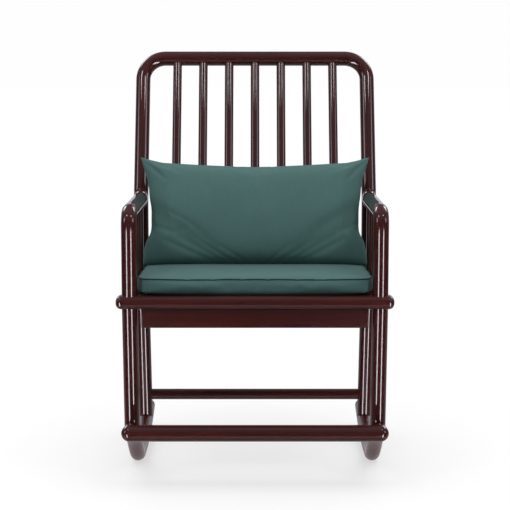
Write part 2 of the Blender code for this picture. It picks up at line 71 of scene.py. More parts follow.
# upholstery
PILLOW_LEAN = math.radians(19.0)
PILLOW_HALF_THICKNESS = 0.043
PILLOW_FOOT = 0.003          # pillow's lower seam, above the foot of its box
PILLOW_SINK = 0.002          # pillow's foot, below its box
SPINDLE_REACH = 0.0125       # spindles' front face, ahead of their centre line
SEAM_RADIUS = 0.0014
SWELL_FRAMES = 12
SWELL_MASS = 0.2
CLOTH_BENDING = 0.3
HELD_EDGE = 0.22             # share of a case, from its seam in, over which its cap falls


# ---------------------------------------------------------------- settings
def length(name, description, default):
    return bpy.props.FloatProperty(name=name, description=description, default=default, unit="LENGTH")


def tint(name, description, default):
    return bpy.props.FloatVectorProperty(name=name, description=description, default=default,
                                         subtype="COLOR", size=3)


class ChairSizes(bpy.types.PropertyGroup):
    """Sizes of the wooden frame that its box alone doesn't tell."""

    rod_radius: length("Rod radius", "Radius of posts, crest rail and rockers", 0.018)
    arm_radius: length("Arm radius", "Radius of the arms and front posts", 0.0175)
    leg_radius: length("Leg radius", "Radius of the four legs", 0.0176)
    back_bend_height: length("Back bend height", "Height where the back begins to lean", 0.615)
    back_bend_radius: length("Back bend radius", "Radius of the posts' bend", 0.160)
    corner_radius: length("Corner radius", "Radius of the crest rail's corners", 0.056)
    arm_bend_radius: length("Arm bend radius", "Radius of the arm's bend into the front post", 0.030)
    arm_fall: length("Arm fall", "How much lower the arm is at the back", 0.0075)
    pad_groove: length("Pad groove", "Distance of the pad's groove from the arm's centre line", 0.0085)
    pad_tilt: bpy.props.FloatProperty(
        name="Pad tilt", description="Inward lean of the arm's padded face", default=math.radians(46.0),
        subtype="ANGLE")
    pad_width: length("Pad width", "Width of an arm pad", 0.0236)
    pad_thickness: length("Pad thickness", "Thickness of an arm pad", 0.006)
    arm_fillet: length("Arm fillet", "Radius where an arm flows into its back post", 0.009)
    rocker_radius: length("Rocker radius", "Curve that the chair rolls on", 1.0)
    rocker_low: length("Rocker low point", "Floor contact, behind the front legs", 0.256)
    rocker_sweep: length("Rocker sweep", "Where the front sweep begins, behind the front legs", 0.200)
    seat_slope: bpy.props.FloatProperty(
        name="Seat slope", description="Fall of the seat towards the back", default=math.radians(3.0),
        subtype="ANGLE")


class WoodLook(bpy.types.PropertyGroup):
    """Colours and gloss of the lacquered wood."""

    dark: tint("Dark grain", "Colour between the grain lines", (0.022, 0.0032, 0.0022))
    red: tint("Red grain", "Colour of the wood under the lacquer", (0.088, 0.0095, 0.0050))
    roughness: bpy.props.FloatProperty(
        name="Roughness", description="Roughness of the wood under the coat", default=0.5, min=0, max=1)
    coat_roughness: bpy.props.FloatProperty(
        name="Coat roughness", description="Roughness of the clear coat", default=0.045, min=0, max=1)


class ClothLook(bpy.types.PropertyGroup):
    """Colours and weave of the upholstery."""

    light: tint("Light thread", "Lighter thread colour", (0.086, 0.178, 0.168))
    dark: tint("Dark thread", "Darker thread colour", (0.062, 0.132, 0.127))
    pad: tint("Pad colour", "Colour of the arm pads", (0.020, 0.031, 0.029))
    thread: length("Thread pitch", "Distance between threads", 0.0011)


class StageSettings(bpy.types.PropertyGroup):
    """Camera, floor and lights."""

    camera_distance: length("Camera distance", "From the front legs, along the floor", 3.3)
    camera_height: length("Camera height", "Height above the floor", 0.990)
    camera_pitch: bpy.props.FloatProperty(
        name="Camera pitch", description="Downward tilt", default=math.radians(8.0), subtype="ANGLE")
    lens: bpy.props.FloatProperty(
        name="Lens", description="Focal length in millimetres on a 36 mm sensor", default=105.9)


def sizes():
    return bpy.context.scene.rocking_chair_sizes


# ---------------------------------------------------------------- where things are, from the frame
@functools.cache
def node_box(node):
    """Lowest and highest corner of a node of the frame."""
    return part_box(node)


def box_middle(node):
    low, high = node_box(node)
    return (low + high) / 2


def front_line():
    """Y of the front legs' line."""
    return box_middle("front_seat_rail").y


def back_line():
    """Y of the upright part of the back."""
    low, high = node_box("back_spindle_4")
    return low.y + (high.x - low.x) / 2


def front_half():
    """Distance of a rocker's centre line from the middle."""
    return box_middle("rocker_left").x


def back_half():
    """Distance of a back post's centre line from the middle."""
    return box_middle("back_post_left").x


def half_width(y):
    """Distance of a side frame's centre line from the middle at a given Y."""
    share = (y - front_line()) / (back_line() - front_line())
    return front_half() + (back_half() - front_half()) * share


def seat_top(y):
    return node_box("front_seat_rail")[1].z - (y - front_line()) * math.tan(sizes().seat_slope)


def crest_centre():
    """(y, z) of the crest rail's centre line."""
    high = node_box("crest_rail")[1]
    return high.y - sizes().rod_radius, high.z - sizes().rod_radius


def lean():
    """Angle of the back above its bend."""
    y, z = crest_centre()
    return math.atan((y - back_line()) / (z - sizes().back_bend_height))


def back_y(z):
    """Y of the leaning part of the back at a height."""
    return back_line() + (z - sizes().back_bend_height) * math.tan(lean())


# ---------------------------------------------------------------- centre lines
def arc(centre, radius, start, end, steps):
    angles = [start + (end - start) * i / steps for i in range(steps + 1)]
    return [(centre[0] + radius * math.cos(a), centre[1] + radius * math.sin(a)) for a in angles]


def back_side_line(z_start, z_end, steps=16):
    """Side view of a post or spindle as (y, z): upright, bent, then leaning."""
    radius = sizes().back_bend_radius
    tangent = radius * math.tan(lean() / 2)
    centre = (back_line() + radius, sizes().back_bend_height - tangent)
    bend = arc(centre, radius, math.pi, math.pi - lean(), steps)
    return [(back_line(), z_start), *bend, (back_y(z_end), z_end)]


def hoop_line(steps=18):
    """The back hoop in one run: up the left post, across the crest and down the right post."""
    radius = sizes().corner_radius
    y, z = crest_centre()
    corner = arc((back_half() - radius, -radius), radius, 0.0, math.pi / 2, steps)
    corner = [(x, y + t * math.sin(lean()), z + t * math.cos(lean())) for x, t in corner]
    foot = node_box("back_post_left")[0].z
    side = [(back_half(), py, pz) for py, pz in back_side_line(foot, corner[0][2])[:-1]]
    left = side + corner
    return left + [(-x, py, pz) for x, py, pz in reversed(left)]


def spindle_line(index):
    node = f"back_spindle_{index}"
    foot = node_box(node)[0].z
    top = crest_centre()[1] - sizes().rod_radius * 0.4
    return [(box_middle(node).x, y, z) for y, z in back_side_line(foot, top)]


def arm_height(y):
    """Height of an arm's centre line along its straight part."""
    top = node_box("arm_left")[1].z - sizes().arm_radius
    return top - sizes().arm_fall * (y - front_line()) / (back_line() - front_line())


def pad_ends():
    low, high = node_box("arm_pad_left")
    return low.y + 0.0002, high.y - 0.0002


def arm_line(side, steps=20):
    """Arm from inside the back post forward, round the bend and down into the seat rail."""
    bend = sizes().arm_bend_radius
    top = arm_height(front_line())
    front_end, rear_end = pad_ends()
    turn = arc((front_line() + bend, top - bend), bend, math.pi / 2, math.pi, steps)
    foot = node_box("arm_left")[0].z
    straight = [back_line() - 0.001 * i for i in range(0, 28)]
    straight = [y for y in straight if y > rear_end + 0.0012]
    straight += [rear_end + 0.0008, rear_end + 0.0003]
    straight += [rear_end + (front_end - rear_end) * i / 8 for i in range(1, 9)]
    straight += [front_end - 0.0003, front_end - 0.0008]
    straight += [front_end + (front_line() + bend - front_end) * i / 4 for i in range(1, 4)]
    line = [(y, arm_height(y)) for y in straight] + turn
    line += [(front_line(), top - bend - (top - bend - foot) * i / 6) for i in range(1, 7)]
    return [(side * half_width(y), y, z) for y, z in line]


def pad_face(side):
    """Unit vectors out of an arm's padded face and across it."""
    tilt = sizes().pad_tilt
    return (Vector((-side * math.sin(tilt), 0.0, math.cos(tilt))),
            Vector((math.cos(tilt), 0.0, side * math.sin(tilt))))


def arm_shape(side):
    """Cuts the pad's groove along the arm and spreads the arm's end over the back post."""
    out_way, cross = pad_face(side)
    front_end, rear_end = pad_ends()
    half_groove = sizes().pad_width / 2 + GROOVE_ROOM
    post = sizes().rod_radius
    fillet = sizes().arm_fillet

    def shape(point, out):
        along_pad = front_end - GROOVE_ROOM <= point.y <= rear_end + GROOVE_ROOM
        if along_pad and point.z > arm_height(point.y) - ARM_CROWN:
            past = out.dot(out_way) - sizes().pad_groove
            if past > 0 and abs(out.dot(cross)) < half_groove:
                return out - out_way * past
        behind = math.sqrt(max(post * post - out.x * out.x, 0.0))
        gap = back_line() - behind - point.y
        if gap < fillet:
            reach = fillet - max(gap, 0.0)
            grow = fillet - math.sqrt(fillet * fillet - reach * reach)
            return out + Vector((0.0, 0.0, grow * out.z / sizes().arm_radius))
        return out

    return shape


def rocker_z(y):
    """Height of a rocker's centre line on its rolling curve."""
    radius = sizes().rocker_radius
    reach = y - front_line() - sizes().rocker_low
    return sizes().rod_radius + radius - math.sqrt(radius * radius - reach * reach)


def rocker_side_line(steps=28):
    """Rocker in side view, from the foot rail back to its tail, as (y, z)."""
    rail = box_middle("foot_rail")
    start = Vector((rail.y, rail.z))
    sweep_y = front_line() + sizes().rocker_sweep
    end = Vector((sweep_y, rocker_z(sweep_y)))
    slope = math.asin((sizes().rocker_low - sizes().rocker_sweep) / sizes().rocker_radius)
    first = start + 0.110 * Vector((math.cos(math.radians(2)), -math.sin(math.radians(2))))
    second = end + 0.050 * Vector((-math.cos(slope), math.sin(slope)))
    sweep = []
    for i in range(steps):
        t = i / steps
        u = 1 - t
        sweep.append(u ** 3 * start + 3 * u * u * t * first + 3 * u * t * t * second + t ** 3 * end)
    tail_y = node_box("rocker_left")[1].y - ROCKER_TAIL_CUT
    tail = [sweep_y + (tail_y - sweep_y) * i / steps for i in range(steps + 1)]
    return [(p.x, p.y) for p in sweep] + [(y, rocker_z(y)) for y in tail]


def rocker_line(side):
    return [(side * front_half(), y, z) for y, z in rocker_side_line()]


def rocker_centre(y):
    line = rocker_side_line()
    for (y0, z0), (y1, z1) in zip(line, line[1:]):
        if y0 <= y <= y1:
            return z0 + (z1 - z0) * (y - y0) / (y1 - y0)
    return line[-1][1]


# ---------------------------------------------------------------- mesh helpers
def ring_frames(line):
    """A point, two cross directions and the distance along for each point of a line."""
    points = [Vector(p) for p in line]
    frames = []
    across = None
    run = 0.0
    for i, point in enumerate(points):
        before = points[max(i - 1, 0)]
        after = points[min(i + 1, len(points) - 1)]
        along = (after - before).normalized()
        if across is None:
            across = along.orthogonal().normalized()
        across = (across - along * across.dot(along)).normalized()
        if i:
            run += (point - points[i - 1]).length
        frames.append((point, across, along.cross(across), along, run))
    return frames


def rod_mesh(name, line, radius, sides=40, ends=(0.0, 0.0), seed=0.0, shape=None):
    """A rod swept along a line, its ends rounded over a length each.

    Each point's place in the straight wood is kept as the attribute "grain".  A shape function can
    move a point: it takes the point on the line and the offset from it, and gives a new offset.
    """
    bm = bmesh.new()
    grain = bm.verts.layers.float_vector.new("grain")
    rings = []
    frames = ring_frames(line)
    stations = [(f, 1.0, 0.0) for f in frames]
    if ends[0]:
        stations = ball_stations(frames[0], ends[0], -1) + stations
    if ends[1]:
        stations = stations + ball_stations(frames[-1], ends[1], 1)
    for (point, across, up, along, run), share, shift in stations:
        ring = []
        for k in range(sides):
            turn = 2 * math.pi * k / sides
            out = (across * math.cos(turn) + up * math.sin(turn)) * radius
            if shape:
                out = shape(point, out)
            out = out * share
            vert = bm.verts.new(point + along * shift + out)
            vert[grain] = (math.cos(turn) * radius * share + seed, math.sin(turn) * radius * share,
                           run + shift + seed)
            ring.append(vert)
        rings.append(ring)
    for low, high in zip(rings, rings[1:]):
        for k in range(sides):
            bm.faces.new((low[k], low[(k + 1) % sides], high[(k + 1) % sides], high[k]))
    bm.faces.new(rings[0][::-1])
    bm.faces.new(rings[-1])
    mesh = bpy.data.meshes.new(name)
    bmesh.ops.recalc_face_normals(bm, faces=bm.faces)
    bm.to_mesh(mesh)
    bm.free()
    mesh.shade_smooth()
    mesh.set_sharp_from_angle(angle=math.radians(50))
    return mesh


def ball_stations(end_frame, reach, way, steps=9):
    """Stations that close a rod's end with half an egg of a given reach."""
    made = []
    for i in range(1, steps):
        a = math.pi / 2 * i / steps
        made.append((end_frame, math.cos(a), way * reach * math.sin(a)))
    return made if way > 0 else made[::-1]


def board_mesh(name, size, rounding, along, steps=5, seed=0.0):
    """A board with rounded edges round the origin; the grain runs along one axis."""
    bm = bmesh.new()
    bmesh.ops.create_cube(bm, size=1.0)
    bmesh.ops.scale(bm, vec=Vector(size), verts=bm.verts)
    bmesh.ops.bevel(bm, geom=bm.edges[:], offset=rounding, segments=steps, profile=0.5, affect="EDGES")
    grain = bm.verts.layers.float_vector.new("grain")
    order = {"X": (1, 2, 0), "Y": (0, 2, 1)}[along]
    for vert in bm.verts:
        vert[grain] = Vector([vert.co[i] for i in order]) + Vector((seed, 0.0, seed))
    mesh = bpy.data.meshes.new(name)
    bmesh.ops.recalc_face_normals(bm, faces=bm.faces)
    bm.to_mesh(mesh)
    bm.free()
    mesh.shade_smooth()
    mesh.set_sharp_from_angle(angle=math.radians(35))
    return mesh


# ---------------------------------------------------------------- shader helpers
class Sock:
    """A node socket or a number in an expression; arithmetic adds Math nodes."""

    def __init__(self, tree, value):
        self.tree = tree
        self.value = value

    def math(self, operation, *others):
        node = self.tree.nodes.new("ShaderNodeMath")
        node.operation = operation
        for slot, item in zip(node.inputs, (self, *others)):
            value = item.value if isinstance(item, Sock) else item
            if isinstance(value, bpy.types.NodeSocket):
                self.tree.links.new(value, slot)
            else:
                slot.default_value = value
        return Sock(self.tree, node.outputs[0])

    def __add__(self, other):
        return self.math("ADD", other)

    __radd__ = __add__

    def __sub__(self, other):
        return self.math("SUBTRACT", other)

    def __rsub__(self, other):
        return Sock(self.tree, other).math("SUBTRACT", self)

    def __mul__(self, other):
        return self.math("MULTIPLY", other)

    __rmul__ = __mul__

    def clamp(self, low, high):
        return self.math("MAXIMUM", low).math("MINIMUM", high)


class NodeMaker:
    """Adds nodes of any kind to a node tree, in one way."""

    def __init__(self, tree):
        self.tree = tree

    def node(self, kind, settings=None, inputs=None, output=0):
        """Adds a node: its settings first, then the values or links of its sockets."""
        node = self.tree.nodes.new(kind)
        for key, value in (settings or {}).items():
            if key == "stops":
                self.set_stops(node.color_ramp, value)
            else:
                setattr(node, key, value)
        for key, value in (inputs or {}).items():
            self.feed(node.inputs[key], value)
        return Sock(self.tree, node.outputs[output])

    @staticmethod
    def set_stops(ramp, stops):
        while len(ramp.elements) < len(stops):
            ramp.elements.new(0.5)
        for element, (place, colour) in zip(ramp.elements, stops):
            element.position = place
            element.color = (*colour, 1.0)

    def feed(self, slot, value):
        if isinstance(value, Sock):
            value = value.value
        if isinstance(value, bpy.types.NodeSocket):
            self.tree.links.new(value, slot)
        elif slot.type == "RGBA" and len(value) == 3:
            slot.default_value = (*value, 1.0)
        else:
            slot.default_value = value

    def mix(self, factor, first, second):
        return self.node("ShaderNodeMix", {"data_type": "RGBA", "clamp_factor": True},
                         {0: factor, 6: first, 7: second}, output=2)

    def stretched(self, vector, scale):
        """A vector multiplied by a scale on each axis."""
        return self.node("ShaderNodeVectorMath", {"operation": "MULTIPLY"}, {0: vector, 1: scale})

    def noise(self, vector, scale, detail=3.0, roughness=0.5):
        return self.node("ShaderNodeTexNoise", {"noise_dimensions": "3D"},
                         {"Vector": vector, "Scale": scale, "Detail": detail, "Roughness": roughness})

    def bump(self, height, strength, distance):
        return self.node("ShaderNodeBump", None,
                         {"Height": height, "Strength": strength, "Distance": distance})

    def split(self, vector):
        """The three parts of a vector."""
        parts = self.tree.nodes.new("ShaderNodeSeparateXYZ")
        self.feed(parts.inputs[0], vector)
        return [Sock(self.tree, out) for out in parts.outputs]

    def step(self, value, low, high):
        """0 before low, 1 after high, smooth between; low may be above high."""
        return self.node("ShaderNodeMapRange", {"interpolation_type": "SMOOTHSTEP"},
                         {0: value, 1: low, 2: high, 3: 0.0, 4: 1.0})

    def window(self, value, span):
        """1 within a span that opens and closes smoothly: (opens, open, shut, shuts)."""
        opens, is_open, is_shut, shuts = span
        return self.step(value, opens, is_open) * self.step(value, is_shut, shuts)


class Shader(NodeMaker):
    """A node material with one Principled shader."""

    def __init__(self, name):
        self.material = bpy.data.materials.new(name)
        self.material.use_nodes = True
        super().__init__(self.material.node_tree)
        self.principled = self.tree.nodes["Principled BSDF"]

    def set(self, **values):
        """Feeds the Principled shader's sockets; names have _ for a space."""
        for key, value in values.items():
            self.feed(self.principled.inputs[key.replace("_", " ")], value)


def lacquered_wood():
    """Very dark red-brown wood under a clear gloss coat, its grain along each piece."""
    look = bpy.context.scene.rocking_chair_wood
    s = Shader("lacquered_wood")
    place = s.node("ShaderNodeAttribute", {"attribute_name": "grain"}, output=1)
    broad = s.noise(s.stretched(place, (1.0, 1.0, 0.05)), 70.0, 4.0, 0.6)
    fine = s.noise(s.stretched(place, (1.0, 1.0, 0.02)), 420.0, 3.0, 0.6)
    cloudy = s.noise(s.stretched(place, (1.0, 1.0, 0.35)), 9.0, 2.0)
    streak = (broad * 1.3 + cloudy * 0.7 - 0.62).clamp(0.0, 1.0)
    pores = ((fine - 0.56) * 9.0).clamp(0.0, 1.0)
    colour = s.mix(streak, look.dark, look.red)
    colour = s.mix(pores * 0.5, colour, (0.008, 0.003, 0.002))
    s.set(Base_Color=colour, Roughness=look.roughness + pores * 0.1 + (cloudy - 0.5) * 0.08,
          Coat_Weight=1.0, Coat_Roughness=look.coat_roughness, Coat_IOR=1.5, Specular_IOR_Level=0.12,
          Normal=s.bump(broad * 0.5 - pores * 0.4, 0.05, 0.0004))
    return s.material


def raw_wood():
    """Unpolished wood for the pieces under the cushion, its browns kept dark as painted shade where they
    show in the gap under the cushion; the grain is the wood's own.
    """
    s = Shader("plain_wood")
    place = s.node("ShaderNodeTexCoord", None, output=3)
    broad = s.noise(s.stretched(place, (0.06, 1.0, 1.0)), 60.0, 4.0, 0.6)
    fine = s.noise(s.stretched(place, (0.03, 1.0, 1.0)), 380.0, 3.0, 0.6)
    # painted shade: both browns are darkened so the slats and blocks read as shadow where they show
    # between cushion and rail
    colour = s.mix(broad, (0.040, 0.017, 0.010), (0.085, 0.038, 0.022))
    colour = s.mix(((fine - 0.55) * 6.0).clamp(0.0, 0.6), colour, (0.02, 0.009, 0.006))
    s.set(Base_Color=colour, Roughness=0.5 + broad * 0.2, Normal=s.bump(fine, 0.25, 0.0005))
    return s.material


def woven_cloth(name, light, dark, pitch):
    """Plain-woven cloth: threads over and under each other, with slubs and a soft nap."""
    s = Shader(name)
    place = s.node("ShaderNodeTexCoord", None, output=3)
    frequency = math.pi / pitch
    x, y, z = s.split(place)
    warp = (x * frequency).math("SINE")
    weft = ((z + y) * frequency).math("SINE")
    weave = warp * weft * 0.5 + 0.5
    slub = s.noise(s.stretched(place, (1.0, 0.3, 0.3)), 140.0, 3.0, 0.6)
    soft = s.noise(place, 14.0, 3.0)
    nap = s.noise(place, 900.0, 2.0)
    share = (weave * 0.45 + slub * 0.5 + soft * 0.4 - 0.28).clamp(0.0, 1.0)
    height = weave * 0.7 + slub * 0.6 + nap * 0.3
    s.set(Base_Color=s.mix(share, dark, light), Roughness=0.82 + slub * 0.12,
          Sheen_Weight=0.06, Sheen_Roughness=0.45, Sheen_Tint=(0.75, 0.9, 0.88), Specular_IOR_Level=0.2,
          Normal=s.bump(height, 0.35, 0.0006))
    return s.material


MATERIALS = {}


def material(name):
    """Each finish is made once and shared."""
    cloth = bpy.context.scene.rocking_chair_cloth
    makers = {
        "lacquered_wood": lacquered_wood,
        "plain_wood": raw_wood,
        "teal_fabric": lambda: woven_cloth("teal_fabric", cloth.light, cloth.dark, cloth.thread),
        # the seam cord's cloth is the teal made far darker: painted shade for the shadowed groove along
        # the cushion's top seam
        "seam_painted_shade": lambda: woven_cloth("seam_painted_shade", [c * 0.22 for c in cloth.light],
                                           [c * 0.15 for c in cloth.dark], cloth.thread),
        "pad_fabric": lambda: woven_cloth("pad_fabric", [c * 1.15 for c in cloth.pad],
                                          [c * 0.85 for c in cloth.pad], cloth.thread),
    }
    if name not in MATERIALS:
        MATERIALS[name] = makers[name]()
    return MATERIALS[name]


# ---------------------------------------------------------------- pieces in the scene
def link_piece(name, mesh, finish):
    """Puts a mesh in the scene with a finish."""
    mesh.materials.append(material(finish))
    piece = bpy.data.objects.new(name, mesh)
    bpy.context.scene.collection.objects.link(piece)
    return piece


def dress(piece, body, replaced=()):
    """Makes a piece ride on a body in place of some nodes."""
    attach(piece, body)
    if replaced:
        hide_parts(*replaced)


def add_wood(name, mesh, replaced):
    dress(link_piece(name, mesh, "lacquered_wood"), "frame", replaced)


# ---------------------------------------------------------------- the wooden frame
class ROCKING_CHAIR_OT_back_hoop(bpy.types.Operator):
    """Back posts and crest rail as one bent hoop"""

    bl_idname = "rocking_chair.back_hoop"
    bl_label = "Back hoop"

    def execute(self, context):
        mesh = rod_mesh("back_hoop", hoop_line(), sizes().rod_radius, sides=48)
        add_wood("back_hoop", mesh, ("crest_rail", "back_post_left", "back_post_right"))
        return {"FINISHED"}


class ROCKING_CHAIR_OT_back_spindles(bpy.types.Operator):
    """Seven slender spindles between the crest rail and the seat"""

    bl_idname = "rocking_chair.back_spindles"
    bl_label = "Back spindles"

    def execute(self, context):
        count = sum(name.startswith("back_spindle_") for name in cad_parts)
        for i in range(1, count + 1):
            node = f"back_spindle_{i}"
            low, high = node_box(node)
            mesh = rod_mesh(f"spindle_{i}", spindle_line(i), (high.x - low.x) / 2, 32, seed=i * 0.37)
            add_wood(f"spindle_{i}", mesh, (node,))
        return {"FINISHED"}


class ROCKING_CHAIR_OT_arms(bpy.types.Operator):
    """Arms that bend down into the front posts, with the spindles under them"""

    bl_idname = "rocking_chair.arms"
    bl_label = "Arms and side spindles"

    def execute(self, context):
        for label, side in SIDES:
            mesh = rod_mesh("arm_rail", arm_line(side), sizes().arm_radius, 56, seed=side * 1.7,
                            shape=arm_shape(side))
            add_wood(f"arm_rail_{label}", mesh, (f"arm_{label}",))
            prefix = f"side_spindle_{label}_"
            for node in sorted(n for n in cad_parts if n.startswith(prefix)):
                low, high = node_box(node)
                middle = (low + high) / 2
                line = [(middle.x, middle.y, low.z), (middle.x, middle.y, high.z)]
                mesh = rod_mesh(node, line, (high.y - low.y) / 2, 32, seed=middle.y * 7)
                add_wood(f"fine_{node}", mesh, (node,))
        return {"FINISHED"}


class ROCKING_CHAIR_OT_seat_frame(bpy.types.Operator):
    """Seat rails, apron and the hidden deck under the cushion"""

    bl_idname = "rocking_chair.seat_frame"
    bl_label = "Seat frame"

    def execute(self, context):
        for node, rounding in (("front_seat_rail", FRONT_RAIL_ROUNDING),
                               ("rear_seat_rail", REAR_RAIL_ROUNDING)):
            low, high = node_box(node)
            mesh = board_mesh(node, high - low, rounding, "X", 6, seed=low.y)
            mesh.transform(Matrix.Translation((low + high) / 2))
            add_wood(f"fine_{node}", mesh, (node,))
        low, high = node_box("front_apron")
        size = high - low
        size.x -= 2 * (sizes().leg_radius - APRON_IN_LEG)
        mesh = board_mesh("apron", size, APRON_ROUNDING, "X", 3, seed=2.2)
        mesh.transform(Matrix.Translation((low + high) / 2))
        add_wood("apron", mesh, ("front_apron",))
        for label, side in SIDES:
            node = f"side_seat_rail_{label}"
            low, high = node_box(node)
            slope = sizes().seat_slope
            depth = high.y - low.y
            size = (high.x - low.x, depth / math.cos(slope), high.z - low.z - depth * math.tan(slope))
            mesh = board_mesh("side_rail", size, SIDE_RAIL_ROUNDING, "Y", 3, seed=side * 3.1)
            place = Matrix.Translation((low + high) / 2) @ Matrix.Rotation(-slope, 4, "X")
            mesh.transform(place)
            add_wood(f"side_rail_{label}", mesh, (node,))
        for name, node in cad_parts.items():
            # the hidden slats, cleats and blocks take the wood darkened with painted shade
            if name.startswith(("seat_slat", "seat_cleat", "corner_block")):
                node.data.materials.clear()
                node.data.materials.append(material("plain_wood"))
        return {"FINISHED"}


class ROCKING_CHAIR_OT_legs(bpy.types.Operator):
    """Four legs and the rear stretcher"""

    bl_idname = "rocking_chair.legs"
    bl_label = "Legs and stretcher"

    def execute(self, context):
        for label, side in SIDES:
            for kind in ("front", "rear"):
                node = f"{kind}_leg_{label}"
                low, high = node_box(node)
                r = sizes().leg_radius
                rear_top = node_box("rear_seat_rail")[0].y + REAR_LEG_SET_IN
                top_y = low.y + r if kind == "front" else rear_top
                foot_y = high.y - r
                foot = (side * front_half(), foot_y, rocker_centre(foot_y))
                top_x = front_half() if kind == "front" else back_half()
                mesh = rod_mesh(node, [foot, (side * top_x, top_y, high.z)], r, 48, seed=side + low.y)
                add_wood(f"fine_{node}", mesh, (node,))
        low, high = node_box("rear_stretcher")
        middle = (low + high) / 2
        mesh = rod_mesh("stretcher", [(low.x, middle.y, middle.z), (high.x, middle.y, middle.z)],
                        (high.z - low.z) / 2, 36, seed=4.1)
        add_wood("stretcher", mesh, ("rear_stretcher",))
        return {"FINISHED"}


class ROCKING_CHAIR_OT_rockers(bpy.types.Operator):
    """Two rockers and the foot rail across their front ends"""

    bl_idname = "rocking_chair.rockers"
    bl_label = "Rockers and foot rail"

    def execute(self, context):
        for label, side in SIDES:
            mesh = rod_mesh("rocker", rocker_line(side), sizes().rod_radius, 48, seed=side * 5.3)
            add_wood(f"fine_rocker_{label}", mesh, (f"rocker_{label}",))
        low, high = node_box("foot_rail")
        middle = (low + high) / 2
        r = (high.z - low.z) / 2
        line = [(low.x + r, middle.y, middle.z), (high.x - r, middle.y, middle.z)]
        mesh = rod_mesh("front_foot_rail", line, r, 48, ends=(r, r), seed=6.6)
        add_wood("front_foot_rail", mesh, ("foot_rail",))
        return {"FINISHED"}


# ---------------------------------------------------------------- upholstery
def case_mesh(name, columns, rows, place, bands=0):
    """A case of two sheets, joined at a seam or by a side wall of some bands.

    place(u, v, w) gives a point: u across and v along run from -1 to 1, and w is -1 on the lower
    sheet and 1 on the upper.  Returns the mesh and the vertex numbers round each sheet's edge.
    """
    bm = bmesh.new()
    flat = bm.verts.layers.float_vector.new("flat")
    ring = [(i, 0) for i in range(columns)] + [(columns, j) for j in range(rows)]
    ring += [(i, rows) for i in range(columns, 0, -1)] + [(0, j) for j in range(rows, 0, -1)]
    sheets = {}
    for way in (-1, 1):
        for i in range(columns + 1):
            for j in range(rows + 1):
                shared = way > 0 and not bands and (i in (0, columns) or j in (0, rows))
                if shared:
                    sheets[way, i, j] = sheets[-1, i, j]
                else:
                    u = 2 * i / columns - 1
                    v = 2 * j / rows - 1
                    sheets[way, i, j] = bm.verts.new(place(u, v, way))
                    sheets[way, i, j][flat] = (u, v, way)
    for way in (-1, 1):
        for i in range(columns):
            for j in range(rows):
                corners = [(i, j), (i + 1, j), (i + 1, j + 1), (i, j + 1)]
                bm.faces.new([sheets[way, a, b] for a, b in corners[::way]])
    loops = {way: [sheets[way, i, j] for i, j in ring] for way in (-1, 1)}
    if bands:
        walls = [loops[-1]]
        for k in range(1, bands):
            w = 2 * k / bands - 1
            walls.append([bm.verts.new(place(2 * i / columns - 1, 2 * j / rows - 1, w)) for i, j in ring])
        walls.append(loops[1])
        for low, high in zip(walls, walls[1:]):
            for k in range(len(ring)):
                after = (k + 1) % len(ring)
                bm.faces.new((low[k], low[after], high[after], high[k]))
    bm.verts.index_update()
    numbers = {way: [vert.index for vert in loop] for way, loop in loops.items()}
    mesh = bpy.data.meshes.new(name)
    bmesh.ops.recalc_face_normals(bm, faces=bm.faces)
    bm.to_mesh(mesh)
    bm.free()
    mesh.shade_smooth()
    return mesh, numbers


def inflate(piece, pressure, cap, shrink, stiffness, edge_cap=None):
    """Swells a closed piece by cloth simulation, keeps each point within a cap and applies it.

    With an edge cap, the cap falls to it towards the seam, so the outline stays as it is cut.
    """
    modifier = piece.modifiers.new("swell", "CLOTH")
    settings = modifier.settings
    settings.quality = 4
    settings.mass = SWELL_MASS
    settings.use_pressure = True
    settings.uniform_pressure_force = pressure
    settings.shrink_min = shrink
    settings.tension_stiffness = stiffness
    settings.compression_stiffness = stiffness
    settings.shear_stiffness = stiffness * 0.4
    settings.bending_stiffness = CLOTH_BENDING
    settings.effector_weights.gravity = 0.0
    modifier.collision_settings.use_collision = False
    modifier.collision_settings.use_self_collision = False
    modifier.point_cache.frame_start = 1
    modifier.point_cache.frame_end = SWELL_FRAMES
    scene = bpy.context.scene
    for frame_number in range(1, SWELL_FRAMES + 1):
        scene.frame_set(frame_number)
    graph = bpy.context.evaluated_depsgraph_get()
    seen = piece.evaluated_get(graph)
    moved = [vert.co.copy() for vert in seen.data.vertices]
    piece.modifiers.remove(modifier)
    scene.frame_set(1)
    flat = piece.data.attributes["flat"].data
    for vert, after in zip(piece.data.vertices, moved):
        step = after - vert.co
        room = cap
        if edge_cap is not None:
            u, v, _ = flat[vert.index].vector
            inside = min(1.0, (1.0 - max(abs(u), abs(v))) / HELD_EDGE)
            room = edge_cap + (cap - edge_cap) * inside
        if step.length > room:
            step *= room / step.length
        vert.co += step


def refine(piece):
    """Adds one subdivision to a piece's mesh for good."""
    modifier = piece.modifiers.new("smooth", "SUBSURF")
    modifier.levels = 1
    modifier.render_levels = 1
    graph = bpy.context.evaluated_depsgraph_get()
    mesh = bpy.data.meshes.new_from_object(piece.evaluated_get(graph))
    piece.modifiers.remove(modifier)
    piece.data = mesh
    mesh.shade_smooth()


def between(value, stops):
    """Linear reading of a table of (place, value) pairs."""
    for (a, low), (b, high) in zip(stops, stops[1:]):
        if value <= b:
            return low + (high - low) * (value - a) / (b - a)
    return stops[-1][1]


def press_creases(mesh, creases):
    """Presses soft lines into a case: each runs between two (u, v) points with a depth and a width."""
    flat = mesh.attributes["flat"].data
    for vert, mark in zip(mesh.vertices, flat):
        u, v, w = mark.vector
        if w > 0:
            continue
        push = 0.0
        for (u0, v0), (u1, v1), depth, width in creases:
            along = Vector((u1 - u0, (v1 - v0) * 0.5))
            away = Vector((u - u0, (v - v0) * 0.5))
            share = min(max(along.dot(away) / along.length_squared, 0.0), 1.0)
            gap = (away - along * share).length
            fade = math.sin(math.pi * (0.15 + 0.7 * share))
            push += depth * fade * math.exp(-(gap / width) ** 2)
        vert.co -= vert.normal * push


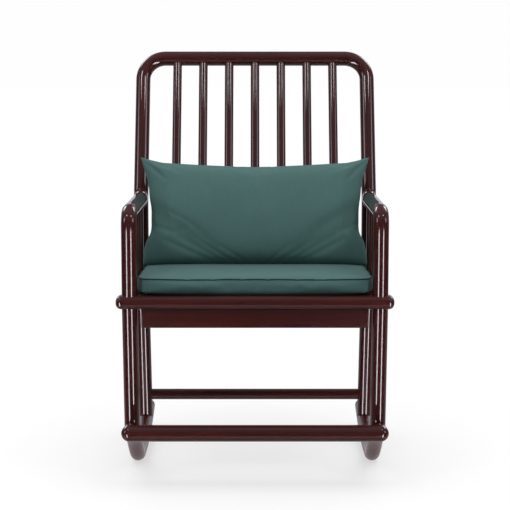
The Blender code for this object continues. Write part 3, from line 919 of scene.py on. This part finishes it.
def both_sides(creases):
    """Creases and their mirror images, a little different in place and depth."""
    other = [((-a[0], a[1] + 0.03), (-b[0] + 0.03, b[1]), depth * 0.85, width * 1.1)
             for a, b, depth, width in creases]
    return creases + other


# half width of a case at places along it, from -1 at its foot or front to 1
CUSHION_SIDES = [(-1.0, 0.2580), (-0.88, 0.2585), (-0.72, 0.2640), (-0.2, 0.2665), (0.5, 0.2660),
                 (1.0, 0.2600)]
PILLOW_SIDES = [(-1.0, 0.2690), (-0.90, 0.2700), (-0.74, 0.2680), (-0.60, 0.2645), (-0.48, 0.2590),
                (-0.38, 0.2540), (-0.28, 0.2530), (-0.10, 0.2550), (0.20, 0.2580), (0.40, 0.2595),
                (0.57, 0.2630), (0.76, 0.2700), (0.94, 0.2775), (1.0, 0.2800)]
# creases as two (u, v) ends, a depth and a width
PILLOW_CREASES = [
    ((-0.97, 0.02), (-0.38, -0.72), 0.0085, 0.085),
    ((-0.80, -0.55), (-0.34, -0.97), 0.0028, 0.020),
    ((-0.66, -0.52), (-0.25, -0.98), 0.0026, 0.018),
    ((-0.50, -0.60), (-0.17, -0.96), 0.0024, 0.016),
    ((-0.30, -0.66), (-0.08, -0.95), 0.0018, 0.014),
    ((-0.95, -0.30), (-0.72, -0.42), 0.0022, 0.018),
    ((-0.16, 0.99), (-0.08, 0.80), 0.0020, 0.014),
    ((-0.05, 0.90), (0.02, 0.72), 0.0014, 0.012),
    ((-0.98, 0.93), (-0.80, 0.60), 0.0030, 0.022),
    ((-0.90, 0.98), (-0.62, 0.74), 0.0018, 0.018),
]


class ROCKING_CHAIR_OT_lumbar_pillow(bpy.types.Operator):
    """Knife-edge pillow that leans on the spindles"""

    bl_idname = "rocking_chair.lumbar_pillow"
    bl_label = "Lumbar pillow"

    def execute(self, context):
        mesh, _ = case_mesh("pillow", 120, 60, self.place)
        pillow = link_piece("pillow", mesh, "teal_fabric")
        inflate(pillow, pressure=3.5, cap=0.013, shrink=-0.03, stiffness=15.0, edge_cap=0.001)
        press_creases(pillow.data, both_sides(PILLOW_CREASES))
        self.settle(pillow)
        refine(pillow)
        dress(pillow, "lumbar_pillow", ("lumbar_pillow",))
        return {"FINISHED"}

    def place(self, u, v, w):
        """Knife-edge pillow, standing upright: x across, y through, z up."""
        low, high = node_box("lumbar_pillow")
        half_height = (high.z - low.z) / 2 / math.cos(PILLOW_LEAN)
        dip = 0.023 - 0.013 * abs(u) ** 1.3 - 0.010 * max(0.0, (abs(u) - 0.8) / 0.2)
        top = half_height - dip
        x = u * between(v, PILLOW_SIDES)
        z = -half_height + PILLOW_FOOT + (top + half_height - PILLOW_FOOT) * (v + 1) / 2
        crown = ((1 - u ** 4) * (1 - v * v)) ** 0.5
        fuller = 1.0 - 0.24 * v
        return (x, w * PILLOW_HALF_THICKNESS * crown * fuller, z)

    def settle(self, pillow):
        """Leans the pillow back, presses it to the spindles and stands it on the cushion."""
        low, high = node_box("lumbar_pillow")
        tilt = Matrix.Rotation(-PILLOW_LEAN, 4, "X")
        pillow.data.transform(Matrix.Translation((low + high) / 2) @ tilt)
        rest = low.z - PILLOW_SINK
        for vert in pillow.data.vertices:
            wall = back_y(max(vert.co.z, sizes().back_bend_height)) - SPINDLE_REACH
            if vert.co.y > wall:
                vert.co.y = wall + (vert.co.y - wall) * 0.04
            if vert.co.z < rest:
                vert.co.z = rest + (vert.co.z - rest) * 0.06


class ROCKING_CHAIR_OT_seat_cushion(bpy.types.Operator):
    """Box cushion with a seam round its top"""

    bl_idname = "rocking_chair.seat_cushion"
    bl_label = "Seat cushion"

    def execute(self, context):
        mesh, loops = case_mesh("cushion", 72, 50, self.place, bands=5)
        cushion = link_piece("cushion", mesh, "teal_fabric")
        inflate(cushion, pressure=2.0, cap=0.005, shrink=-0.012, stiffness=20.0)
        low, high = node_box("seat_cushion")
        turn = Matrix.Rotation(-sizes().seat_slope, 4, "X")
        cushion.data.transform(Matrix.Translation((low + high) / 2) @ turn)
        seam = [cushion.data.vertices[i].co.copy() for i in loops[1]]
        refine(cushion)
        dress(cushion, "seat_cushion", ("seat_cushion",))
        # a thin cord round the top seam, dark with painted shade where the seam's groove lies in shadow
        cord = rod_mesh("cushion_seam", seam + seam[:2], SEAM_RADIUS, 10)
        seam_cord = link_piece("cushion_seam", cord, "seam_painted_shade")
        dress(seam_cord, "seat_cushion")
        return {"FINISHED"}

    def place(self, u, v, w):
        """Lies flat: x across, y along, z up; narrow between the front posts, fuller behind."""
        low, high = node_box("seat_cushion")
        depth = high.y - low.y - 0.006
        thick = high.z - low.z - (high.y - low.y) * math.tan(sizes().seat_slope) - 0.005
        corner = (abs(u) * abs(v)) ** 10
        x = u * (between(v, CUSHION_SIDES) - 0.010 * corner)
        y = v * (depth / 2 - 0.008 * corner)
        crown = 0.006 * (1 - u ** 8) * (1 - v ** 8)
        side = 0.0025 * (1 - w * w)
        x += math.copysign(side, u) * (abs(u) > 0.999)
        y += math.copysign(side, v) * (abs(v) > 0.999)
        return (x, y, w * thick / 2 + (crown if w > 0 else 0.0))


class ROCKING_CHAIR_OT_arm_pads(bpy.types.Operator):
    """Padded strips let into the arms"""

    bl_idname = "rocking_chair.arm_pads"
    bl_label = "Arm pads"

    def execute(self, context):
        front_end, rear_end = pad_ends()
        s = sizes()
        for label, side in SIDES:
            out_way, cross = pad_face(side)
            lift = s.pad_groove + s.pad_thickness / 2 + PAD_SEAT
            line = []
            for i in range(41):
                y = front_end + PAD_END_ROUNDING + (rear_end - front_end - 2 * PAD_END_ROUNDING) * i / 40
                line.append(Vector((side * half_width(y), y, arm_height(y))) + out_way * lift)

            def shape(point, out, out_way=out_way, cross=cross):
                a = out.dot(cross)
                b = out.dot(out_way)
                wide = math.copysign(abs(a) ** 0.42, a) * s.pad_width / 2
                high = math.copysign(abs(b) ** 0.55, b) * s.pad_thickness / 2
                return cross * wide + out_way * high

            mesh = rod_mesh("arm_pad", line, 1.0, 56, ends=(PAD_END_ROUNDING,) * 2, shape=shape)
            pad = link_piece(f"pad_{label}", mesh, "pad_fabric")
            dress(pad, "frame", (f"arm_pad_{label}",))
        return {"FINISHED"}


# ---------------------------------------------------------------- stage
GLOSS_STOPS = [(0.10, (0.34, 0.28, 0.30)), (0.26, (0.62, 0.52, 0.54)), (0.325, (0.78, 0.68, 0.70)),
               (0.350, (0.07, 0.05, 0.05)), (0.450, (0.03, 0.02, 0.03)), (0.470, (0.09, 0.08, 0.10)),
               (0.611, (0.07, 0.06, 0.08)), (0.656, (0.12, 0.11, 0.13)), (1.0, (0.36, 0.35, 0.42))]
# bright panes that the gloss shows: a span of degrees round from the front, one of degrees up, a colour
PANES = [((26.0, 29.0, 41.0, 38.0), (-4.8, -6.2, -50.0, -40.0), (17.0, 16.5, 18.0)),
         ((58.0, 66.0, 84.0, 76.0), (10.0, 16.0, 34.0, 26.0), (4.0, 4.0, 4.6)),
         ((122.0, 132.0, 158.0, 148.0), (23.0, 28.0, 44.0, 38.0), (7.0, 7.0, 7.8))]
BACK_WALL = (0.6, 0.6, 0.66)
REAR_FLOOR = (0.46, 0.39, 0.41)
CAMERA_WHITE = (0.99, 0.99, 0.99)


def gloss_surroundings(s, y, rise, turn):
    """What the lacquer mirrors: grey by height, the floor and wall behind, and the bright panes."""
    grey = s.node("ShaderNodeValToRGB", {"stops": GLOSS_STOPS}, {0: (rise + 90.0) * (1 / 180)})
    floor = s.step(y, -0.2, 0.3) * s.step(rise, -8.0, -16.0)
    wall = s.step(y, 0.55, 0.85) * s.window(rise, (-14.0, -6.0, 28.0, 14.0))
    gloss = s.mix(wall, s.mix(floor, grey, REAR_FLOOR), BACK_WALL)
    for round_span, up_span, colour in PANES:
        gloss = s.mix(s.window(turn, round_span) * s.window(rise, up_span), gloss, colour)
    return gloss


def add_area_light(name, place, target, size, power):
    data = bpy.data.lights.new(name, "AREA")
    data.shape = "RECTANGLE"
    data.size, data.size_y = size
    data.energy = power
    lamp = bpy.data.objects.new(name, data)
    bpy.context.scene.collection.objects.link(lamp)
    lamp.location = place
    lamp.rotation_euler = (Vector(target) - Vector(place)).to_track_quat("-Z", "Y").to_euler()


class ROCKING_CHAIR_OT_stage(bpy.types.Operator):
    """Pale floor, studio light and the camera"""

    bl_idname = "rocking_chair.stage"
    bl_label = "Stage"

    def execute(self, context):
        self.make_floor()
        self.make_world(context.scene)
        self.make_lights()
        self.make_camera(context.scene)
        context.scene.view_settings.view_transform = "Standard"
        return {"FINISHED"}

    def make_floor(self):
        bm = bmesh.new()
        bmesh.ops.create_grid(bm, x_segments=1, y_segments=1, size=30.0)
        mesh = bpy.data.meshes.new("floor")
        bm.to_mesh(mesh)
        bm.free()
        s = Shader("pale_floor")
        s.set(Base_Color=(0.40, 0.40, 0.40), Roughness=0.9, Specular_IOR_Level=0.0,
              Emission_Color=(1.0, 1.0, 1.0), Emission_Strength=0.57)
        mesh.materials.append(s.material)
        floor = bpy.data.objects.new("floor", mesh)
        floor.visible_glossy = False
        floor.visible_diffuse = False
        bpy.context.scene.collection.objects.link(floor)

    def make_world(self, scene):
        """White to the camera, soft light from above to cloth, and bright panes to the gloss."""
        world = bpy.data.worlds.new("studio")
        scene.world = world
        world.use_nodes = True
        s = NodeMaker(world.node_tree)
        background = s.tree.nodes["Background"]
        x, y, z = s.split(s.node("ShaderNodeTexCoord", output=0))
        rise = z.math("ARCSINE") * (180 / math.pi)
        turn = x.math("ABSOLUTE").math("ARCTAN2", y * -1.0) * (180 / math.pi)
        gloss = gloss_surroundings(s, y, rise, turn)
        soft = z.math("MAXIMUM", 0.0) * 1.22 + s.step(z, -0.15, 0.0) * 0.18 + 0.12
        path = s.tree.nodes.new("ShaderNodeLightPath")
        glossy = Sock(s.tree, path.outputs["Is Glossy Ray"])
        camera = Sock(s.tree, path.outputs["Is Camera Ray"])
        shade = s.mix(glossy, soft, gloss)
        s.feed(background.inputs["Color"], s.mix(camera, shade, CAMERA_WHITE))

    def make_lights(self):
        for side in (-1, 1):
            place = (side * 1.25, -1.35, 2.63)
            add_area_light("soft_box", place, (side * 0.1, 0.20, 0.85), (0.45, 0.30), 6)

    def make_camera(self, scene):
        look = scene.rocking_chair_stage
        data = bpy.data.cameras.new("camera")
        data.lens = look.lens
        data.sensor_width = 36.0
        camera = bpy.data.objects.new("camera", data)
        scene.collection.objects.link(camera)
        camera.location = (0, front_line() - look.camera_distance, look.camera_height)
        camera.rotation_euler = (math.pi / 2 - look.camera_pitch, 0, 0)
        scene.camera = camera


# ---------------------------------------------------------------- registration and the run
GROUPS = {
    "rocking_chair_sizes": ChairSizes,
    "rocking_chair_wood": WoodLook,
    "rocking_chair_cloth": ClothLook,
    "rocking_chair_stage": StageSettings,
}

OPERATORS = (
    ROCKING_CHAIR_OT_back_hoop,
    ROCKING_CHAIR_OT_back_spindles,
    ROCKING_CHAIR_OT_arms,
    ROCKING_CHAIR_OT_seat_frame,
    ROCKING_CHAIR_OT_legs,
    ROCKING_CHAIR_OT_rockers,
    ROCKING_CHAIR_OT_seat_cushion,
    ROCKING_CHAIR_OT_lumbar_pillow,
    ROCKING_CHAIR_OT_arm_pads,
    ROCKING_CHAIR_OT_stage,
)


class ROCKING_CHAIR_PT_panel(bpy.types.Panel):
    """Lists the chair's pieces in the order that they are made"""

    bl_label = "Rocking Chair"
    bl_idname = "ROCKING_CHAIR_PT_panel"
    bl_space_type = "VIEW_3D"
    bl_region_type = "UI"
    bl_category = "Rocking Chair"

    def draw(self, context):
        for operator in OPERATORS:
            self.layout.operator(operator.bl_idname)
        for name, group in GROUPS.items():
            box = self.layout.box()
            for key in group.__annotations__:
                box.prop(getattr(context.scene, name), key)


def register():
    for name, group in GROUPS.items():
        bpy.utils.register_class(group)
        setattr(bpy.types.Scene, name, bpy.props.PointerProperty(type=group))
    for operator in OPERATORS:
        bpy.utils.register_class(operator)
    bpy.utils.register_class(ROCKING_CHAIR_PT_panel)


def unregister():
    bpy.utils.unregister_class(ROCKING_CHAIR_PT_panel)
    for operator in reversed(OPERATORS):
        bpy.utils.unregister_class(operator)
    for name, group in reversed(GROUPS.items()):
        delattr(bpy.types.Scene, name)
        bpy.utils.unregister_class(group)


def main():
    register()
    for operator in OPERATORS:
        package, step = operator.bl_idname.split(".")
        getattr(getattr(bpy.ops, package), step)()


if __name__ == "__main__":
    main()
